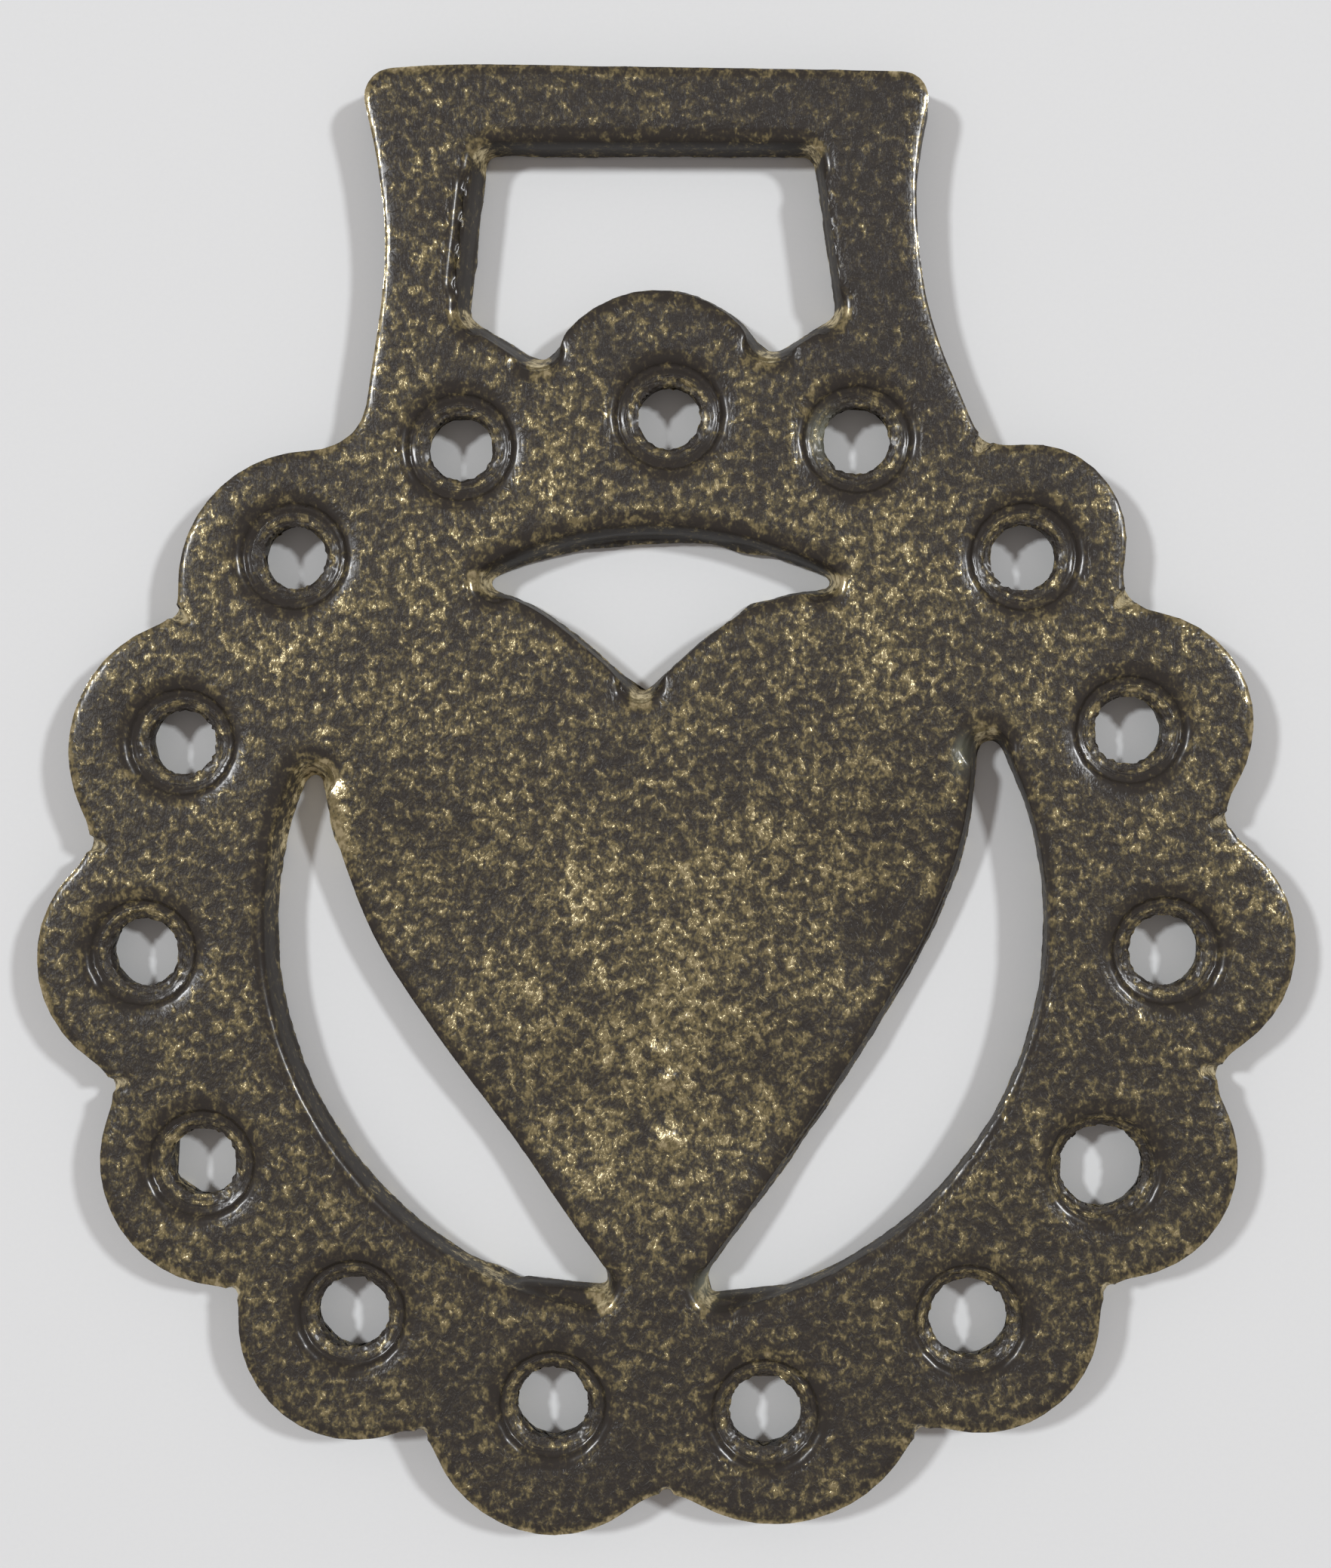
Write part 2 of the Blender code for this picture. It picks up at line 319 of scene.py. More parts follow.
class Contour:
    """The closed edges of one level of the casting, with the metal on their left."""

    SAMPLE = 0.08
    HOLE_WIDTH = 8.0

    def __init__(self, mesh: bpy.types.Mesh, facing: float) -> None:
        """Finds the edges of the flat back or of the flat face.

        Args:
            mesh: A merged copy of the casting.
            facing: 1 for the face that looks up, -1 for the back.
        """
        lines = sorted(self._walks(mesh, facing), key=lambda line: np.ptp(line, axis=0).sum())
        small = [line for line in lines if np.ptp(line, axis=0).max() < self.HOLE_WIDTH]
        large = lines[len(small):]
        self.loops: dict[Edge, list[np.ndarray]] = {
            Edge.RIM: [self._turned(line, 1.0) for line in large[-1:]],
            Edge.OPENING: [self._turned(line, -1.0) for line in large[:-1]],
            Edge.HOLE: [self._turned(line, -1.0) for line in small],
        }

    @staticmethod
    def _walks(mesh: bpy.types.Mesh, facing: float) -> list[np.ndarray]:
        """Walks every closed line between a flat level and the walls.

        Args:
            mesh: The merged mesh.
            facing: 1 for the face, -1 for the back.

        Returns:
            The lines, each as points in millimetres.
        """
        shape = bmesh.new()
        shape.from_mesh(mesh)
        shape.normal_update()
        flat = {face for face in shape.faces if facing * face.normal.z > FLAT}
        after: dict[int, list[int]] = {}
        for edge in shape.edges:
            if sum(face in flat for face in edge.link_faces) == 1:
                first, second = edge.verts
                after.setdefault(first.index, []).append(second.index)
                after.setdefault(second.index, []).append(first.index)
        shape.verts.ensure_lookup_table()
        lines = []
        while after:
            start = next(iter(after))
            walk = [start]
            before, here = None, start
            while True:
                ways = [index for index in after[here] if index != before]
                before, here = here, ways[0]
                if here == start:
                    break
                walk.append(here)
            for index in walk:
                del after[index]
            lines.append(np.array([shape.verts[index].co.xy for index in walk]) / MM)
        shape.free()
        return lines

    @staticmethod
    def _turned(line: np.ndarray, sense: float) -> np.ndarray:
        """Turns a closed line to run in a sense.

        Args:
            line: The line.
            sense: 1 for anticlockwise, -1 for clockwise.

        Returns:
            The line, or its reverse.
        """
        ahead = np.roll(line, -1, axis=0)
        area = (line[:, 0] * ahead[:, 1] - line[:, 1] * ahead[:, 0]).sum()
        return line if area * sense > 0 else line[::-1]

    def sampled(self, line: np.ndarray) -> np.ndarray:
        """A closed line as evenly spaced points.

        Args:
            line: The line's corners.

        Returns:
            The points along it.
        """
        closed = np.vstack((line, line[:1]))
        walked = np.concatenate(([0.0], np.cumsum(np.hypot(*np.diff(closed, axis=0).T))))
        stops = np.linspace(0.0, walked[-1], int(walked[-1] / self.SAMPLE), endpoint=False)
        return np.column_stack([np.interp(stops, walked, closed[:, axis]) for axis in (0, 1)])

    def nearest(self, points: np.ndarray, *kinds: Edge) -> Near:
        """Finds the nearest edge of some kinds, in plan.

        Args:
            points: The points, in millimetres.
            kinds: The kinds of edge.

        Returns:
            What each point finds there.
        """
        samples = [self.sampled(line) for kind in kinds for line in self.loops[kind]]
        runs = [np.roll(sample, -2, axis=0) - np.roll(sample, 2, axis=0) for sample in samples]
        line, run = np.vstack(samples), np.vstack(runs)
        left = np.column_stack((-run[:, 1], run[:, 0])) / np.hypot(*run.T)[:, None]
        tree = KDTree(len(line))
        for index, (x, y) in enumerate(line):
            tree.insert((x, y, 0.0), index)
        tree.balance()
        found = [tree.find((x, y, 0.0))[1:] for x, y in points[:, :2]]
        nearest = np.array([index for index, _ in found])
        gap = np.array([distance for _, distance in found])
        side = ((points[:, :2] - line[nearest]) * left[nearest]).sum(axis=1)
        return Near(np.where(side < 0.0, -gap, gap), line[nearest], left[nearest])

    def depths(self, points: np.ndarray, *kinds: Edge) -> np.ndarray:
        """How deep points lie in the metal from the nearest edge of some kinds, in plan."""
        return self.nearest(points, *kinds).depth

    def bites(self, kind: Edge, span: float, least_turn: float) -> list[Bite]:
        """The corners of a kind of edge that bite into the metal.

        Args:
            kind: The kind of edge.
            span: How far each way the turn is measured, in millimetres.
            least_turn: The least turn of a corner, in degrees.

        Returns:
            The corners.
        """
        found: list[Bite] = []
        reach = int(span / self.SAMPLE)
        for line in self.loops[kind]:
            dense = self.sampled(line)
            before, after = np.roll(dense, reach, axis=0), np.roll(dense, -reach, axis=0)
            back, ahead = dense - before, after - dense
            cross = back[:, 0] * ahead[:, 1] - back[:, 1] * ahead[:, 0]
            turn = -np.degrees(np.arctan2(cross, (back * ahead).sum(axis=1)))
            inward = dense - (before + after) / 2
            for index in np.nonzero(turn > least_turn)[0]:
                around = np.take(turn, np.arange(index - reach, index + reach + 1), mode="wrap")
                apart = all(np.hypot(*(dense[index] - bite.point)) > span for bite in found)
                if turn[index] >= around.max() and apart:
                    found.append(Bite(dense[index], inward[index] / np.hypot(*inward[index])))
        return found


@dataclass(frozen=True)
class Plan:
    """The casting's edges seen from above.

    Attributes:
        back: The edges of the flat back.
        face: The edges of the flat face.
        centre: The middle of the ring.
        notches: The valleys between the lobes, and beside the loop.
        tips: The corners of the openings.
    """

    back: Contour
    face: Contour
    centre: np.ndarray
    notches: list[Bite]
    tips: list[Bite]

    NOTCH_SPAN = 2.2
    NOTCH_TURN = 18.0
    NOTCH_LENGTH = 1.25
    FOOT_NOTCH_LENGTH = 0.6
    TIP_SPAN = 1.0
    TIP_TURN = 35.0
    # How far in from the foot of each wall its lip is.
    RIM_REACH = 0.12
    HEART_REACH = 0.22
    TIP_REACH = 0.9
    OPENING_REACH = 0.55
    MORE_FACING = 0.2
    MORE_BELOW = 0.4
    MORE_IN_LOOP = 0.5
    LOOP_ABOVE = 30.0
    HOLE_LIP = 0.2

    @classmethod
    def read(cls, mesh: bpy.types.Mesh) -> "Plan":
        """Finds the edges of a merged copy of the casting.

        Args:
            mesh: The merged mesh.

        Returns:
            The plan.
        """
        back = Contour(mesh, -1.0)
        top = positions(mesh)[:, 1].max()
        centre = np.array((RING_ASIDE, top - RING_BELOW_TOP))
        notches = back.bites(Edge.RIM, cls.NOTCH_SPAN, cls.NOTCH_TURN)
        tips = back.bites(Edge.OPENING, cls.TIP_SPAN, cls.TIP_TURN)
        return cls(back, Contour(mesh, 1.0), centre, notches, tips)

    def notch_length(self, bite: Bite) -> float:
        """How far a valley's nick runs into the face: less at the foot of the ring.

        Args:
            bite: The valley.

        Returns:
            Its length, in millimetres, or 0 where there is none.
        """
        x, y = bite.point - self.centre
        if x < 0.0 and y > 25.0:
            return 0.0
        return self.FOOT_NOTCH_LENGTH if y < -20.0 else self.NOTCH_LENGTH

    def lip_reach(self, near: Near, kind: Edge) -> np.ndarray:
        """How far in from the foot of a wall the face begins.

        The outer wall is upright. In the openings, the lips are tight at the heart and at whatever
        faces -X, and the walls that face +X slope more, most of all in the strap's opening.

        Args:
            near: The nearest edges.
            kind: The kind of edge.

        Returns:
            One distance for each point.
        """
        facing, rising = -near.inward.T
        if kind is Edge.RIM:
            return np.full(len(facing), self.RIM_REACH)
        place = near.place - self.centre
        reach = self.OPENING_REACH + self.MORE_FACING * facing
        reach += self.MORE_BELOW * np.clip(-rising, 0.0, 1.0)
        reach += self.MORE_IN_LOOP * (place[:, 1] > self.LOOP_ABOVE) * np.clip(facing, 0.0, 1.0)
        reach = np.where(self.at_heart(near), self.HEART_REACH, reach)
        corner = np.min([np.hypot(*(near.place - tip.point).T) for tip in self.tips], axis=0)
        return reach + (self.TIP_REACH - reach) * ease(1.8, 0.8, corner)

    def at_heart(self, near: Near) -> np.ndarray:
        """Whether the nearest edges of the openings are the heart's own."""
        return (near.inward * (near.place - self.centre)).sum(axis=1) < 0.0

    def lip_depths(self, points: np.ndarray) -> dict[Edge, np.ndarray]:
        """How far in from the lip of each kind of edge points are, in plan.

        Args:
            points: The points, in millimetres.

        Returns:
            One distance for each point, negative on the walls, for each kind of edge.
        """
        depths = {Edge.HOLE: self.face.depths(points, Edge.HOLE) + self.HOLE_LIP}
        for kind in (Edge.RIM, Edge.OPENING):
            near = self.back.nearest(points, kind)
            depths[kind] = near.depth - self.lip_reach(near, kind)
        return depths

    def in_from_lip(self, points: np.ndarray) -> np.ndarray:
        """How far in from the nearest lip points are, negative on the walls."""
        return np.min(list(self.lip_depths(points).values()), axis=0)

    def crumbled(self, points: np.ndarray) -> np.ndarray:
        """Where the crumbled bores and shelves of the holes are."""
        return ease(1.0, 0.7, self.back.depths(points, Edge.HOLE)) * ease(2.95, 2.7, points[:, 2])

    def strength(self, spots: "tuple[Spot, ...]", points: np.ndarray) -> np.ndarray:
        """The summed strength of some spots at some points."""
        return sum(spot.over(points, self.centre) for spot in spots)


@dataclass(frozen=True)
class Spot:
    """A soft round place on the face, given from the middle of the ring.

    Attributes:
        place: The spot's middle.
        reach: How far it reaches.
        strength: How strong it is at its middle.
    """

    place: tuple[float, float]
    reach: float
    strength: float

    def over(self, points: np.ndarray, centre: np.ndarray) -> np.ndarray:
        """The spot's strength at some points."""
        gap = np.hypot(*(points[:, :2] - centre - np.array(self.place)).T)
        return self.strength * np.exp(-((gap / self.reach) ** 2))


@dataclass(frozen=True)
class Web:
    """A web of flash that the metal ran into at the foot of an opening.

    Attributes:
        place: The web's middle, from the middle of the ring.
        size: Its length, width and thickness.
        turn: Its direction, in degrees.
    """

    place: tuple[float, float]
    size: tuple[float, float, float]
    turn: float

    FOOT = 0.02
    ROUNDING = 0.3

    def build(self, centre: np.ndarray) -> bpy.types.Object:
        """Models the web as a thin plate with rounded corners.

        Args:
            centre: The middle of the ring.

        Returns:
            The plate.
        """
        length, width, thick = self.size
        x, y = centre + np.array(self.place)
        deselect()
        bpy.ops.mesh.primitive_cube_add(
            size=MM,
            location=(x * MM, y * MM, (self.FOOT + thick / 2) * MM),
            rotation=(0.0, 0.0, math.radians(self.turn)),
            scale=(length, width, thick),
        )
        plate = bpy.context.object
        bpy.ops.object.transform_apply(location=True, rotation=True, scale=True)
        bpy.ops.object.mode_set(mode="EDIT")
        bpy.ops.mesh.select_all(action="SELECT")
        bpy.ops.mesh.bevel(offset=self.ROUNDING * min(width, thick) * MM, segments=3, affect="EDGES")
        bpy.ops.object.mode_set(mode="OBJECT")
        return plate


@dataclass(frozen=True)
class Unevenness:
    """One scale of unevenness of the cast skin.

    Attributes:
        name: What it is.
        group: The vertex group that says where it is.
        grain: The size of its lumps, in millimetres.
        depth: How far it moves the skin from low to high, in millimetres.
        detail: How many finer scales ride on it.
        middle: The level of the pattern that leaves the skin where it is.
    """

    name: str
    group: str
    grain: float
    depth: float
    detail: int = 2
    middle: float = 0.5

    def shape(self, piece: bpy.types.Object) -> None:
        """Displaces the skin of a piece.

        Args:
            piece: The piece, which has the vertex group.
        """
        texture = bpy.data.textures.new(self.name, "CLOUDS")
        texture.noise_basis = "IMPROVED_PERLIN"
        texture.noise_scale = self.grain * MM
        texture.noise_depth = self.detail
        settings = {
            "texture": texture,
            "texture_coords": "LOCAL",
            "direction": "NORMAL",
            "strength": self.depth * MM,
            "mid_level": self.middle,
            "vertex_group": self.group,
        }
        modify(piece, self.name, "DISPLACE", **settings)


@dataclass
class Casting:
    """The whole brass: ring, lobes, heart and strap loop in one piece of cast metal.

    Lengths are in millimetres, and places are given from the middle of the ring.

    Attributes:
        node: The frame's own casting, which is copied.
        name: The name of the finished piece.
        grid: The size of the skin's cells.
        softening: How many times the skin is smoothed.
        face: The height of the face.
        ledge: The height of the ragged foot of the walls.
        wall: How much of its reach a wall has used up at each height.
        lip: Each distance in from a lip, with the height that the worn face has there.
        relief: How much wider the openings are at the back, for each millimetre from the middle.
        relief_aside: How far the openings are moved at the back besides.
        countersink: The height of a hole's wall at each share of the way from bore to lip.
        bore_flare: How far the foot of a bore is flared.
        notch_width: The width of the nicks between the lobes.
        notch_foot: The height of a nick's floor at the rim.
        notch_rise: How far the floor rises along the nick.
        notch_slope: How steeply it rises to each side.
        back_share: The share of the faces that the flat back keeps.
        face_share: The share that the flat of the face keeps.
        most_triangles: The most triangles that the skin may have.
        webs: The webs of flash.
        flash: Where flash was left along the foot of the openings' walls.
        flash_reach: How far the flash sticks out.
        swellings: Where the face swells up in worn bumps.
        swelling_height: How high they are.
        sunk: Where the heart was cast thinner, and how much.
        unevenness: The scales of unevenness of the skin.
        plan: The casting's edges.
        piece: The piece that is being made.
    """

    node: bpy.types.Object
    name: str = "horse_brass_casting"
    grid: float = 0.21
    softening: int = 3
    face: float = 3.2
    ledge: float = 0.72
    wall: Profile = ((0.35, 0.0), (1.6, 0.15), (2.3, 0.4), (2.85, 0.8), (3.2, 1.5))
    lip: Profile = (
        (-0.3, 2.68),
        (-0.2, 2.84),
        (-0.1, 2.95),
        (0.0, 3.03),
        (0.12, 3.09),
        (0.3, 3.135),
        (0.6, 3.165),
        (1.2, 3.2),
    )
    relief: float = 0.018
    relief_aside: tuple[float, float] = (0.196, -0.02)
    countersink: Profile = (
        (0.0, 0.0),
        (0.06, 2.3),
        (0.3, 2.45),
        (0.45, 2.55),
        (0.6, 2.66),
        (0.8, 2.85),
        (1.0, 3.12),
    )
    bore_flare: float = 0.5
    notch_width: float = 0.8
    notch_foot: float = 1.7
    notch_rise: float = 1.35
    notch_slope: float = 0.9
    back_share: float = 0.03
    face_share: float = 0.2
    most_triangles: int = 190_000
    webs: tuple[Web, ...] = (
        Web((-5.5, -23.4), (6.6, 2.3, 2.3), -5.0),
        Web((5.9, -23.75), (5.6, 2.2, 2.3), 6.0),
    )
    flash: tuple[Spot, ...] = (
        Spot((-1.5, 23.3), 4.5, 1.0),
        Spot((5.5, 22.6), 1.2, 0.9),
        Spot((-20.0, 5.6), 1.3, 1.0),
        Spot((-20.3, 8.6), 1.5, 0.6),
        Spot((6.0, 19.4), 0.8, 0.9),
        Spot((-9.6, -21.2), 1.2, 0.7),
    )
    flash_reach: float = 0.3
    swellings: tuple[Spot, ...] = (
        Spot((0.4, -7.8), 0.5, 1.0),
        Spot((0.9, -9.4), 0.5, 0.9),
        Spot((0.8, -13.0), 0.6, 1.0),
    )
    swelling_height: float = 0.32
    sunk: tuple[Spot, ...] = (
        Spot((-14.0, 0.0), 8.0, 0.6),
        Spot((14.0, 0.0), 8.0, 1.0),
        Spot((-7.5, -12.0), 6.0, 0.6),
        Spot((7.5, -12.0), 6.0, 0.9),
    )
    unevenness: tuple[Unevenness, ...] = (
        Unevenness("poured_waves", "skin", 5.0, 0.14, 1, 0.8),
        Unevenness("mould_sand", "skin", 1.1, 0.05, 2, 0.7),
        Unevenness("crumbled_bores", "bore", 0.5, 0.22, 2, 0.6),
        Unevenness("ragged_foot", "foot", 0.55, 0.16, 2),
        Unevenness("foot_tongues", "foot", 2.6, 0.16, 0),
    )
    plan: Plan = field(init=False)
    piece: bpy.types.Object = field(init=False)

    def build(self) -> bpy.types.Object:
        """Models the casting's fine skin.

        Returns:
            The finished mesh, without its material.
        """
        self._copy()
        self.plan = Plan.read(self.piece.data)
        self._steepen()
        self._add_webs()
        self._recast()
        self._countersink_holes()
        self._wear_lips()
        self._sink_heart()
        self._cut_notches()
        self._weigh()
        for unevenness in self.unevenness:
            unevenness.shape(self.piece)
        self._raise_flash()
        self._raise_swellings()
        self._settle()
        self._thin()
        self._settle()
        self._mark()
        self._shade()
        return self.piece

    def _copy(self) -> None:
        """Copies the frame's node and merges its loose triangles."""
        take(self.node)
        bpy.ops.object.duplicate()
        self.piece = bpy.context.object
        self.piece.name = self.name
        self.piece.data.name = self.name
        self.piece.parent = None
        for key in [key for key in self.piece.keys() if key.startswith("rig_")]:
            del self.piece[key]
        self.piece.data.materials.clear()
        bpy.ops.object.mode_set(mode="EDIT")
        bpy.ops.mesh.select_all(action="SELECT")
        bpy.ops.mesh.remove_doubles(threshold=1e-6)
        bpy.ops.object.mode_set(mode="OBJECT")

    def _place(self, points: np.ndarray) -> None:
        """Moves the vertices to new places, in millimetres."""
        self.piece.data.vertices.foreach_set("co", (points * MM).astype(np.float32).ravel())
        self.piece.data.update()

    def _steepen(self) -> None:
        """Draws the walls of the rim and the openings out to their own steepness.

        The openings widen a little towards the back, away from the middle of the casting.
        """
        points = positions(self.piece.data)
        clear = self.plan.face.depths(points, Edge.HOLE) > 0.15
        rim = self.plan.back.nearest(points, Edge.RIM)
        opening = self.plan.back.nearest(points, Edge.OPENING)
        heights, shares = zip(*self.wall)
        share = np.interp(points[:, 2], heights, shares)
        for near, kind, others in ((rim, Edge.RIM, opening), (opening, Edge.OPENING, rim)):
            chosen = (points[:, 2] > 0.5) & clear & (near.depth < others.depth)
            inset = (share * self.plan.lip_reach(near, kind))[:, None]
            points[chosen, :2] = (near.place + near.inward * inset)[chosen]
        spread = points[:, :2] * self.relief + np.array(self.relief_aside)
        spread *= 1.0 - points[:, 2:] / self.face
        points[:, :2] += spread * (clear & (opening.depth < rim.depth))[:, None]
        self._place(points)

    def _add_webs(self) -> None:
        """Joins the webs of flash to the casting."""
        plates = [web.build(self.plan.centre) for web in self.webs]
        take(self.piece)
        for plate in plates:
            plate.select_set(True)
        bpy.ops.object.join()

    def _recast(self) -> None:
        """Gives the casting one even fine skin and softens its edges."""
        modify(self.piece, "skin", "REMESH", mode="VOXEL", voxel_size=self.grid * MM)
        modify(self.piece, "soften", "SMOOTH", factor=0.5, iterations=self.softening)

    def _countersink_holes(self) -> None:
        """Makes each hole a shallow countersink with a shelf, over a bore that widens downwards."""
        points = positions(self.piece.data)
        bore = self.plan.back.nearest(points, Edge.HOLE)
        from_lip = self.plan.face.depths(points, Edge.HOLE)
        share = bore.depth / np.maximum(bore.depth - from_lip, 0.1)
        shares, heights = zip(*self.countersink)
        wall = (from_lip < 0.0) & (bore.depth > -0.5) & (points[:, 2] > 0.12)
        points[wall, 2] = np.interp(share, shares, heights)[wall]
        low = np.clip(1.0 - points[:, 2] / 2.0, 0.0, 1.0) * np.clip(1.0 - bore.depth / 0.9, 0.0, 1.0)
        widened = self.bore_flare * low * (bore.depth > -0.5)
        points[:, :2] += bore.inward * widened[:, None]
        self._place(points)

    def _wear_lips(self) -> None:
        """Rolls the face over into the walls, through one tight bend, as a worn lip."""
        points = positions(self.piece.data)
        top = np.nonzero(points[:, 2] > 2.2)[0]
        depth = self.plan.in_from_lip(points[top])
        starts, heights = zip(*self.lip)
        rolled = np.interp(depth, starts, heights)
        share = ease(2.25, 2.6, points[top, 2]) * ease(starts[0] - 0.15, starts[0], depth)
        points[top, 2] += (rolled - points[top, 2]) * share
        self._place(points)

    def _sink_heart(self) -> None:
        """Lowers the sides of the heart a little, as it was cast thinner than the ring."""
        points = positions(self.piece.data)
        near = self.plan.back.nearest(points, Edge.OPENING)
        depth = self._spotted(self.sunk, points) * self.plan.at_heart(near)
        points[:, 2] -= depth * ease(1.2, 2.6, points[:, 2])
        self._place(points)

    def _cut_notches(self) -> None:
        """Cuts a sloping nick into the face at each valley between the lobes."""
        points = positions(self.piece.data)
        for bite in self.plan.notches:
            length = self.plan.notch_length(bite)
            along, across = bite.along(points), bite.across(points)
            run = np.clip((along + 0.1) / (length + 0.1), 0.0, 1.0)
            half = 0.5 * self.notch_width * (1.0 - 0.6 * run)
            floor = self.notch_foot + self.notch_rise * run + self.notch_slope * across
            share = ease(half + 0.09, half - 0.03, across) * (along > -0.6) * (along < length)
            drop = np.maximum(points[:, 2] - floor, 0.0)
            points[:, 2] -= drop * share * (points[:, 2] > 0.8)
        self._place(points)

    def _weigh(self) -> None:
        """Makes the vertex groups that limit the unevenness."""
        points = positions(self.piece.data)
        height = points[:, 2]
        inside = np.minimum(*(self.plan.back.depths(points, kind) for kind in (Edge.HOLE, Edge.OPENING)))
        foot = ease(self.ledge + 0.35, self.ledge, height) * ease(1.1, 0.7, inside)
        crumbled = self.plan.crumbled(points) * ease(0.0, 0.15, height)
        skin = ease(0.1, 0.9, height) * (1.0 - 0.7 * foot) * (1.0 - crumbled)
        for name, weights in (("skin", skin), ("foot", foot), ("bore", crumbled)):
            self._group(name, weights)

    def _group(self, name: str, weights: np.ndarray) -> None:
        """Stores weights as a vertex group, in even steps.

        Args:
            name: The group's name.
            weights: One weight for each vertex.
        """
        group = self.piece.vertex_groups.new(name=name)
        steps = np.round(weights * WEIGHT_STEPS).astype(int)
        for step in range(1, WEIGHT_STEPS + 1):
            members = np.nonzero(steps == step)[0]
            if len(members):
                group.add(members.tolist(), step / WEIGHT_STEPS, "REPLACE")

    def _spotted(self, spots: tuple[Spot, ...], points: np.ndarray) -> np.ndarray:
        """The joint strength of some spots at some points, from 0 to 1."""
        return np.clip(self.plan.strength(spots, points), 0.0, 1.0)

    def _raise_flash(self) -> None:
        """Pushes out the flash along the foot of the openings' walls."""
        points = positions(self.piece.data)
        low = ease(self.ledge + 0.1, self.ledge - 0.15, points[:, 2])
        near = ease(0.9, 0.5, self.plan.back.depths(points, Edge.OPENING))
        self._push("flash", self.flash_reach, self._spotted(self.flash, points) * low * near)

    def _raise_swellings(self) -> None:
        """Pushes up the worn bumps of the face."""
        points = positions(self.piece.data)
        weights = self._spotted(self.swellings, points) * ease(2.3, 2.6, points[:, 2])
        self._push("swellings", self.swelling_height, weights)

    def _push(self, name: str, reach: float, weights: np.ndarray) -> None:
        """Pushes part of the skin outwards.

        Args:
            name: What the push makes.
            reach: How far it goes at full weight, in millimetres.
            weights: One weight for each vertex.
        """
        self._group(name, weights)
        modify(self.piece, name, "DISPLACE", strength=reach * MM, mid_level=0.0, vertex_group=name)

    def _settle(self) -> None:
        """Flattens the back and keeps the skin within the frame's box."""
        low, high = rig.box(NODE)
        points = positions(self.piece.data)
        points[:, 2][points[:, 2] < 0.07] = 0.0
        self._place(np.clip(points, np.array(low) / MM, np.array(high) / MM))

    def _thin(self) -> None:
        """Takes most faces out of the flat back, many out of the flat of the face, few elsewhere."""
        mesh = self.piece.data
        self._decimate(per_face(mesh, positions(mesh)[:, 2], np.maximum) < 1e-4, self.back_share)
        points = positions(mesh)
        high = per_face(mesh, points[:, 2], np.minimum) > 2.1
        inner = per_face(mesh, self.plan.in_from_lip(points), np.minimum) > 0.6
        self._decimate(high & inner, self.face_share)
        triangles = len(mesh.loops) - 2 * len(mesh.polygons)
        if triangles > self.most_triangles:
            self._decimate(np.ones(len(mesh.polygons), dtype=bool), self.most_triangles / triangles)

    def _decimate(self, chosen: np.ndarray, ratio: float) -> None:
        """Thins out some of the faces.

        Args:
            chosen: True for each face to thin.
            ratio: The share of faces to keep.
        """
        take(self.piece)
        bpy.ops.object.mode_set(mode="EDIT")
        bpy.ops.mesh.select_mode(type="FACE")
        bpy.ops.mesh.select_all(action="DESELECT")
        bpy.ops.object.mode_set(mode="OBJECT")
        self.piece.data.polygons.foreach_set("select", chosen)
        bpy.ops.object.mode_set(mode="EDIT")
        bpy.ops.mesh.decimate(ratio=ratio)
        bpy.ops.object.mode_set(mode="OBJECT")

    def _mark(self) -> None:
        """Stores on the skin where it is rubbed, bare, smooth, soiled and bored."""
        marks = Patination(self.plan, self.ledge).marks(positions(self.piece.data))
        for mark, values in marks.items():
            attribute = self.piece.data.attributes.new(mark.value, "FLOAT", "POINT")
            attribute.data.foreach_set("value", np.clip(values, 0.0, 1.0).astype(np.float32))

    def _shade(self) -> None:
        """Shades the skin smooth between its sharp bends, and the back flat."""
        take(self.piece)
        bpy.ops.object.shade_smooth_by_angle(angle=math.radians(60.0))
        for face in self.piece.data.polygons:
            if face.normal.z < -FLAT:
                face.use_smooth = False


